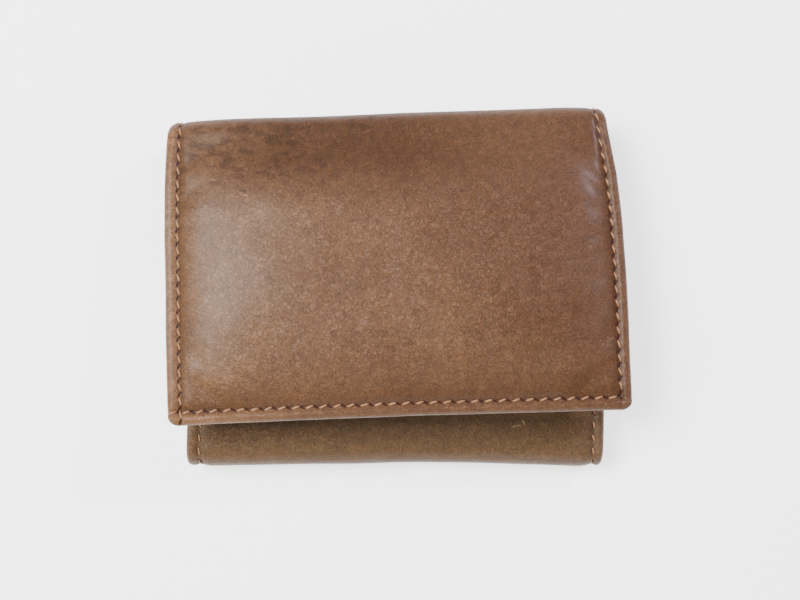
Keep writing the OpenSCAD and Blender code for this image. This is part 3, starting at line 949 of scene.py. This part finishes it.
TREE_INPUTS = (("Seam", "Geometry", None), ("Pitch", "Float", PITCH * MM), ("Slant", "Float", SLANT),
               ("Unevenness", "Float", UNEVEN), ("Seed", "Int", 4), ("Stitch", "Object", None),
               ("Thread", "Material", None))
TREE_NODES = {
    "given": ("NodeGroupInput", {}), "made": ("NodeGroupOutput", {}),
    "curve": ("GeometryNodeMeshToCurve", {}), "resample": ("GeometryNodeResampleCurve", {"mode": "LENGTH"}),
    "tangent": ("GeometryNodeInputTangent", {}),
    "facing": ("GeometryNodeInputNamedAttribute", {"data_type": "FLOAT_VECTOR"}),
    "turn_x": ("FunctionNodeAlignRotationToVector", {"axis": "X"}),
    "turn_z": ("FunctionNodeAlignRotationToVector", {"axis": "Z", "pivot_axis": "X"}),
    "uneven": ("FunctionNodeRandomValue", {}), "minus": ("ShaderNodeMath", {"operation": "MULTIPLY"}),
    "slanted": ("ShaderNodeMath", {"operation": "ADD"}), "about_z": ("ShaderNodeCombineXYZ", {}),
    "spin": ("FunctionNodeEulerToRotation", {}),
    "rotate": ("FunctionNodeRotateRotation", {"rotation_space": "LOCAL"}),
    "info": ("GeometryNodeObjectInfo", {}), "place": ("GeometryNodeInstanceOnPoints", {}),
    "realize": ("GeometryNodeRealizeInstances", {}), "dye": ("GeometryNodeSetMaterial", {}),
}
TREE_LINKS = (
    # from node, its output, to node, its input
    ("given", "Seam", "curve", 0), ("curve", 0, "resample", "Curve"),
    ("given", "Pitch", "resample", "Length"), ("tangent", 0, "turn_x", "Vector"),
    ("turn_x", 0, "turn_z", "Rotation"), ("facing", 0, "turn_z", "Vector"),
    ("given", "Unevenness", "minus", 0), ("minus", 0, "uneven", 2), ("given", "Unevenness", "uneven", 3),
    ("given", "Seed", "uneven", "Seed"), ("uneven", 1, "slanted", 0), ("given", "Slant", "slanted", 1),
    ("slanted", 0, "about_z", 2), ("about_z", 0, "spin", 0), ("turn_z", 0, "rotate", 0),
    ("spin", 0, "rotate", 1), ("given", "Stitch", "info", "Object"), ("resample", 0, "place", "Points"),
    ("info", "Geometry", "place", "Instance"), ("rotate", 0, "place", "Rotation"),
    ("place", 0, "realize", 0), ("realize", 0, "dye", "Geometry"), ("given", "Thread", "dye", "Material"),
    ("dye", 0, "made", 0),
)


def stitch_tree():
    """Geometry nodes: a stitch at even steps along each seam line, turned to the seam and to the leather."""
    tree = bpy.data.node_groups.new("sewn_row", "GeometryNodeTree")
    for label, kind, value in TREE_INPUTS:
        socket = tree.interface.new_socket(label, in_out="INPUT", socket_type="NodeSocket" + kind)
        if value is not None:
            socket.default_value = value
    tree.interface.new_socket("Sewn", in_out="OUTPUT", socket_type="NodeSocketGeometry")
    nodes = {}
    for label, (kind, settings) in TREE_NODES.items():
        nodes[label] = tree.nodes.new(kind)
        for key, value in settings.items():
            setattr(nodes[label], key, value)
    nodes["facing"].inputs["Name"].default_value = "facing"
    nodes["minus"].inputs[1].default_value = -1.0
    for start, output, end, socket in TREE_LINKS:
        tree.links.new(nodes[start].outputs[output], nodes[end].inputs[socket])
    return tree


STITCH = one_stitch()
STITCH.hide_render = True
SEWN_ROW = stitch_tree()


def sew(name, rows, seed):
    """Stitches along rows of (points, facings); each row starts and ends at a stitch's middle."""
    verts, edges, normals = [], [], []
    for points, facings in rows:
        first = len(verts)
        verts += [tuple(p) for p in points * MM]
        normals.append(facings)
        edges += [(first + k, first + k + 1) for k in range(len(points) - 1)]
    mesh = bpy.data.meshes.new(name + "_lines")
    mesh.from_pydata(verts, edges, [])
    attribute = mesh.attributes.new("facing", "FLOAT_VECTOR", "POINT")
    attribute.data.foreach_set("vector", np.concatenate(normals).astype(np.float32).ravel())
    lines = bpy.data.objects.new(name + "_lines", mesh)
    bpy.context.scene.collection.objects.link(lines)
    modifier = lines.modifiers.new("sewn_row", "NODES")
    modifier.node_group = SEWN_ROW
    sockets = {s.name: s.identifier for s in SEWN_ROW.interface.items_tree if s.in_out == "INPUT"}
    for label, value in (("Pitch", PITCH * MM), ("Slant", SLANT), ("Unevenness", UNEVEN), ("Seed", seed),
                         ("Stitch", STITCH), ("Thread", THREAD)):
        modifier[sockets[label]] = value
    bpy.context.view_layer.update()
    graph = bpy.context.evaluated_depsgraph_get()
    sewn = bpy.data.meshes.new_from_object(lines.evaluated_get(graph))
    bpy.data.objects.remove(lines)
    for attribute_name in [a.name for a in sewn.attributes if a.name == "facing"]:
        sewn.attributes.remove(sewn.attributes[attribute_name])
    sewn.shade_smooth()
    piece = bpy.data.objects.new(name, sewn)
    bpy.context.scene.collection.objects.link(piece)
    return piece


def row_places(low, high):
    """Four places for each stitch between two limits, at whole stitches counted from nought."""
    first = math.ceil(low / PITCH - 0.5)
    last = math.floor(high / PITCH - 0.5)
    return (np.linspace(first, last, 4 * (last - first) + 1) + 0.5) * PITCH


def side_row(panel, side, low, high):
    """A side seam between two places along the strip."""
    run = panel.run
    along = run.panel_at + row_places(low - run.panel_at, high - run.panel_at)
    margin = side_margin(side)
    across = side * (1 - 2 * margin / run.width(along))
    across_w, along_w = panel.shape(across, along)
    rise = panel.relief(np.full_like(along, margin), across, along)
    return run.place(across_w, along_w, rise), run.facing(along)


def end_row(panel, low, high):
    """The seam along a free edge, from one place across to another."""
    run = panel.run
    lateral = row_places(low, high)
    along = np.full_like(lateral, run.end - END_MARGIN)
    width = run.width(along)
    across = lateral / (width / 2)
    from_side = width / 2 - np.abs(lateral)
    across_w, along_w = panel.shape(across, along)
    rise = panel.relief(from_side, across, along)
    return run.place(across_w, along_w, rise), run.facing(along)


def seams_of(panel, low, high):
    """The rows of one stretch of the strip; the far end of a panel has its end row too."""
    run = panel.run
    with_end = high >= run.end - 0.01
    rows = []
    for side in (-1, 1):
        stop = high
        if with_end:
            stop = run.end - (0.8 if side < 0 and panel is FLAP else END_MARGIN + 0.8)
        rows.append(side_row(panel, side, low, stop))
    if with_end:
        half = run.w1 / 2
        left = half - (0.8 if panel is FLAP else LEFT_MARGIN + 0.6)
        rows.append(end_row(panel, -left, half - RIGHT_MARGIN - 0.6))
    return rows


def make_seams():
    for number, part in enumerate(STRETCHES):
        piece = sew("thread_" + part.ending, seams_of(part.panel, part.low, part.high), 4 + number)
        hang(piece, part, LEATHER, part.seam_nodes)


make_seams()


# ---- Pockets, window and padding ----

INSIDE = 2.4           # depth of the divider's inner face
POCKET_T = 0.6
FOLD_CLEAR = 5.0
FRAME_T = 0.9
WINDOW = (74.0, 42.0, 3.0)
FILM_LAP = 4.0
INNER_MARGIN = 1.4
RIM_STEPS = np.array([0, 0.05, 0.12, 0.22, 0.34, 0.6, 1.0, 1.35, 1.6, 1.85, 2.3])


class Flat:
    """A panel's inner side: x across, y from its fold, and depth under the shell's outer face."""

    def __init__(self, origin, x_axis, y_axis, outward, body):
        self.origin, self.x_axis, self.y_axis = origin, x_axis, y_axis
        self.outward, self.body = outward, body

    def place(self, x, y, depth):
        x, y, depth = np.broadcast_arrays(x, y, depth)
        return (self.origin + x[..., None] * self.x_axis + y[..., None] * self.y_axis
                - depth[..., None] * self.outward)

    def reach(self, node):
        """Low and high x and y of a CAD node on this panel."""
        points = node_points(node) - self.origin
        x, y = points @ self.x_axis, points @ self.y_axis
        return x.min(), x.max(), y.min(), y.max()


def panel_flat(run, body):
    return Flat(run.high + run.radius * run.normal, run.u, run.run_out, run.normal, body)


BACK_FLAT = Flat(np.zeros(3), np.array([1.0, 0, 0]), np.array([0, 1.0, 0]), -UP, "back_panel")
FLAP_FLAT = panel_flat(TOP, "flap")
TUCK_FLAT = panel_flat(BOTTOM, "tuck_panel")


def rim_places(length, step):
    middle = spaced(RIM_STEPS[-1], length - RIM_STEPS[-1], step)[1:-1]
    return np.concatenate([RIM_STEPS, middle, length - RIM_STEPS[::-1]]) / length


def plate(name, flat, corners, depth, thick, material, radius, puff=0.0, crease=False):
    """A thin piece between four corners, first two on its low side, with rounded rims and corners."""
    p = np.array(corners, float)
    wide, long = np.linalg.norm(p[1] - p[0]), np.linalg.norm(p[3] - p[0])
    i, j = np.meshgrid(rim_places(wide, 2.4), rim_places(long, 2.4))
    from_x = np.minimum(i, 1 - i) * wide
    from_y = np.minimum(j, 1 - j) * long
    rim = np.minimum(from_x, from_y)
    scale = CORNER / radius
    near_x, near_y = round_corner(from_x * scale, from_y * scale)
    side_x = np.where(i < 0.5, near_x / scale / wide, 1 - near_x / scale / wide)[..., None]
    side_y = np.where(j < 0.5, near_y / scale / long, 1 - near_y / scale / long)[..., None]
    low = p[0] * (1 - side_x) + p[1] * side_x
    high = p[3] * (1 - side_x) + p[2] * side_x
    xy = low * (1 - side_y) + high * side_y
    q = np.sqrt(1 - np.clip(1 - rim / 0.34, 0, 1) ** 2)
    swell = puff * well_up(rim - 1.5, 5) * (1 + 0.5 * ruffle(20, 31, xy[..., 0], xy[..., 1]))
    line = 0.13 * groove((1 - i) * wide - 1.6, 0.28) if crease else 0
    shown = depth + thick / 2 + thick / 2 * q + swell - line * q
    hidden = depth + thick / 2 - thick / 2 * q
    x, y = xy[..., 0], xy[..., 1]
    return closed_sheet(name, flat.place(x, y, shown), flat.place(x, y, hidden), material, ROUND_SIDES)[0]


def back_pocket_corners(slot_x):
    top = TOP.low[:2] - [0, FOLD_CLEAR]
    half = TOP.w0 / 2 - INNER_INSET
    foot = BOTTOM.low[1] + FOLD_CLEAR
    across = (slot_x - top[0]) / TOP.u[0]
    return [(INNER_INSET - BOTTOM.w0 / 2, foot), (slot_x, foot), tuple(top + across * TOP.u[:2]),
            tuple(top - half * TOP.u[:2])]


def panel_corners(run, slot_x=None):
    """The corners of a piece that fills a panel's inner side up to a slot."""
    far = run.panel_l - INNER_INSET
    near_x = run.width(run.panel_at + FOLD_CLEAR) / 2 - INNER_INSET
    far_x = run.width(run.panel_at + far) / 2 - INNER_INSET
    cut = far_x if slot_x is None else slot_x
    return [(-near_x, FOLD_CLEAR), (near_x if slot_x is None else cut, FOLD_CLEAR), (cut, far), (-far_x, far)]


def settle(piece, flat, node):
    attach(piece, flat.body)
    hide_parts(node)


def make_pockets():
    for flat, label, node, radius, puff, places in (
            (BACK_FLAT, "pocket_", "card_pocket_", 1.2, 0.25, ("rear", "middle", "front")),
            (TUCK_FLAT, "slip_pocket_", "tuck_pocket_", 2.0, 0.2, ("rear", "front"))):
        for number, place in enumerate(places):
            slot_x = flat.reach(node + place)[1]
            corners = back_pocket_corners(slot_x) if flat is BACK_FLAT else panel_corners(BOTTOM, slot_x)
            piece = plate(label + place, flat, corners, INSIDE + POCKET_T * number, POCKET_T, POCKET, radius,
                          puff if place == "front" else 0, True)
            settle(piece, flat, node + place)


def rounded_outline(corners, radius, steps=6, between=24):
    """Points round four corners, the same number for every outline, so that one can be joined to another."""
    p = np.array(corners, float)
    points = []
    for k in range(4):
        corner, before, after = p[k], p[k - 1], p[(k + 1) % 4]
        a = (before - corner) / np.linalg.norm(before - corner)
        b = (after - corner) / np.linalg.norm(after - corner)
        middle = corner + radius * (a + b)
        for m in range(steps + 1):
            t = m / steps * math.pi / 2
            points.append(middle - radius * (b * math.cos(t) + a * math.sin(t)))
        end, start = points[-1], p[(k + 1) % 4] - radius * b
        points += [end + (start - end) * m / between for m in range(1, between)]
    return np.array(points)


def ring(name, flat, outlines, section, material):
    """A closed frame: section lists (outline, next outline, share, depth) round its cross-section."""
    loops = []
    for first, second, share, depth in section:
        xy = outlines[first] * (1 - share) + outlines[second] * share
        loops.append(flat.place(xy[:, 0], xy[:, 1], np.full(len(xy), depth)))
    count, size = len(loops), len(loops[0])
    faces = []
    for a in range(count):
        b = (a + 1) % count
        for k in range(size):
            m = (k + 1) % size
            faces.append((a * size + k, a * size + m, b * size + m, b * size + k))
    return finish_mesh(name, np.concatenate(loops), faces, material)


def window_box(grow):
    wide, long, _ = WINDOW
    middle = (FOLD_CLEAR + TOP.panel_l - INNER_INSET) / 2
    x, low, high = wide / 2 + grow, middle - long / 2 - grow, middle + long / 2 + grow
    return [(-x, low), (x, low), (x, high), (-x, high)]


def make_window():
    film_depth = INSIDE + 0.3
    film = plate("window_pane", FLAP_FLAT, window_box(FILM_LAP - 0.05), INSIDE + 0.02, 0.26, FILM, radius=1.0)
    settle(film, FLAP_FLAT, "window_film")
    outlines = {"edge": rounded_outline(panel_corners(TOP), 1.8),
                "film": rounded_outline(window_box(FILM_LAP), 0.6),
                "opening": rounded_outline(window_box(0), WINDOW[2])}
    top = film_depth + FRAME_T
    hidden_side = (("edge", "film", 0.0, INSIDE + 0.25), ("edge", "film", 0.01, INSIDE + 0.06),
                   ("edge", "film", 0.03, INSIDE), ("edge", "film", 1.0, INSIDE),
                   ("film", "opening", 0.0, film_depth), ("film", "opening", 0.94, film_depth),
                   ("film", "opening", 1.0, film_depth + 0.2))
    lip = tuple(("film", "opening", 1.0 - 0.09 * t ** 2,
                 film_depth + 0.2 + (FRAME_T - 0.2) * math.sin(t * math.pi / 2))
                for t in (0.25, 0.5, 0.75, 1.0))
    shown_side = (("film", "opening", 0.82, top + 0.02), ("film", "opening", 0.75, top - 0.10),
                  ("film", "opening", 0.68, top + 0.02), ("film", "opening", 0.3, top + 0.05),
                  ("edge", "film", 0.9, top + 0.08), ("edge", "film", 0.5, top + 0.08),
                  ("edge", "film", 0.14, top), ("edge", "film", 0.06, top - 0.06),
                  ("edge", "film", 0.02, top - 0.25), ("edge", "film", 0.0, top - 0.5))
    section = hidden_side + lip + shown_side
    frame_piece = ring("window_leather_frame", FLAP_FLAT, outlines, section, POCKET)
    settle(frame_piece, FLAP_FLAT, "window_frame")


def make_padding():
    """Felt between the flap's leather and its lining; it fills the leather's swell."""
    low_x = LEFT_MARGIN + 0.6
    along = (TOP.panel_at + spaced(FOLD_CLEAR, TOP.panel_l - END_MARGIN - 0.6, 1.6))[:, None]
    width = TOP.width(along)
    from_left = np.concatenate([spaced(low_x, 6, 0.7)[:-1], spaced(6, TOP.w0 - 6, 2.0),
                                spaced(TOP.w0 - 6, TOP.w0 - low_x, 0.7)[1:]])[None, :] * (width / TOP.w0)
    from_side = np.minimum(from_left, width - from_left)
    across = -1 + 2 * from_left / width
    across_w, along_w = FLAP.shape(across, along)
    top = FLAP.relief(from_side, across, along) - LEATHER - 0.05
    low = np.full_like(top, -LINING_AT + 0.02)
    top = np.maximum(top, low + 0.12)
    piece = closed_sheet("flap_pad", TOP.place(across_w, along_w, top), TOP.place(across_w, along_w, low),
                         FELT, CUT_SIDES)[0]
    settle(piece, FLAP_FLAT, "flap_padding")


def flat_row(flat, start, end, depth):
    """A straight row on a panel's inner side."""
    a, b = np.array(start, float), np.array(end, float)
    steps = max(2, int(np.linalg.norm(b - a) / PITCH))
    share = np.linspace(0, 1, 2 * steps)
    xy = a + share[:, None] * (b - a)
    points = flat.place(xy[:, 0], xy[:, 1], np.full(len(xy), depth))
    return points, np.tile(-flat.outward, (len(xy), 1))


def three_sides(flat, corners, deep):
    """Seams along a pocket's two long sides and its closed end; its open side has none."""
    margin = INNER_INSET + INNER_MARGIN
    (x0, y0), (x1, y1), (x2, y2), (x3, y3) = corners
    return [flat_row(flat, (x0 + margin, y0 + INNER_MARGIN), (x1, y1 + INNER_MARGIN), deep),
            flat_row(flat, (x3 + margin, y3 - INNER_MARGIN), (x2, y2 - INNER_MARGIN), deep),
            flat_row(flat, (x0 + INNER_MARGIN, y0 + margin), (x3 + INNER_MARGIN, y3 - margin), deep)]


def window_rows():
    """Seams round the window's opening and along three sides of its frame."""
    deep = INSIDE + 0.3 + FRAME_T - 0.06
    box = window_box(INNER_MARGIN)
    rows = [flat_row(FLAP_FLAT, box[k], box[(k + 1) % 4], deep) for k in range(4)]
    (x0, y0), _, (x2, y2), (x3, y3) = panel_corners(TOP)
    rows += [flat_row(FLAP_FLAT, (side * (abs(x0) - INNER_MARGIN), y0 + 2),
                      (side * (abs(x2) - INNER_MARGIN), y2 - 2), deep) for side in (-1, 1)]
    rows.append(flat_row(FLAP_FLAT, (x3 + 3, y3 - INNER_MARGIN), (x2 - 3, y2 - INNER_MARGIN), deep))
    return rows


def make_inner_seams():
    back = back_pocket_corners(BACK_FLAT.reach("card_pocket_front")[1] - 1.0)
    tuck = panel_corners(BOTTOM, TUCK_FLAT.reach("tuck_pocket_front")[1] - 1.0)
    for label, flat, rows, seed, node in (
            ("pocket_thread", BACK_FLAT, three_sides(BACK_FLAT, back, INSIDE + 3 * POCKET_T - 0.08), 21,
             "card_pocket_stitching"),
            ("slip_pocket_thread", TUCK_FLAT, three_sides(TUCK_FLAT, tuck, INSIDE + 2 * POCKET_T - 0.08), 22,
             "tuck_pocket_stitching"),
            ("window_thread", FLAP_FLAT, window_rows(), 23, "window_stitching")):
        settle(sew(label, rows, seed), flat, node)


make_pockets()
make_window()
make_padding()
make_inner_seams()


# ---- Floor and light ----

FLOOR_HALF = 6.0       # metres, so that no corner of it shows from the side


def make_floor():
    mesh = bpy.data.meshes.new("floor")
    h = FLOOR_HALF
    mesh.from_pydata([(-h, -h, 0), (h, -h, 0), (h, h, 0), (-h, h, 0)], [], [(0, 1, 2, 3)])
    floor = bpy.data.objects.new("floor", mesh)
    bpy.context.scene.collection.objects.link(floor)
    n = Nodes("pale_floor")
    mesh.materials.append(n.set(color=(0.96, 0.96, 0.96, 1), rough=0.9, specular=0.1))
    n.shader.inputs["Emission Color"].default_value = (1, 1, 1, 1)
    n.shader.inputs["Emission Strength"].default_value = 1.5


def area_light(name, place, size, power, colour=(1, 1, 1)):
    data = bpy.data.lights.new(name, "AREA")
    data.shape = "DISK"
    data.size = size
    data.energy = power
    data.color = colour
    light = bpy.data.objects.new(name, data)
    light.location = place
    light.rotation_euler = (Vector((0, 0, 0.015)) - Vector(place)).to_track_quat("-Z", "Y").to_euler()
    bpy.context.scene.collection.objects.link(light)


def make_light():
    world = bpy.data.worlds.new("soft_room")
    bpy.context.scene.world = world
    world.use_nodes = True
    world.node_tree.nodes["Background"].inputs[0].default_value = (1, 0.97, 0.93, 1)
    world.node_tree.nodes["Background"].inputs[1].default_value = 0.16
    area_light("window", (-0.27, 0.14, 0.55), 0.26, 9.0, (1.0, 0.95, 0.93))
    area_light("far_window", (-0.70, -0.05, 0.75), 0.45, 5.5)
    area_light("lamp", (0.37, 0.29, 0.41), 0.11, 4.0, (0.92, 0.80, 1.0))
    area_light("low_fill", (0.05, -0.45, 0.28), 0.30, 1.6, (1.0, 0.95, 0.92))


make_floor()
make_light()

for label in ("back_board", "tuck_board"):
    frame["nodes"][label].data.materials.clear()
    frame["nodes"][label].data.materials.append(BOARD)

bpy.data.objects.remove(STITCH)
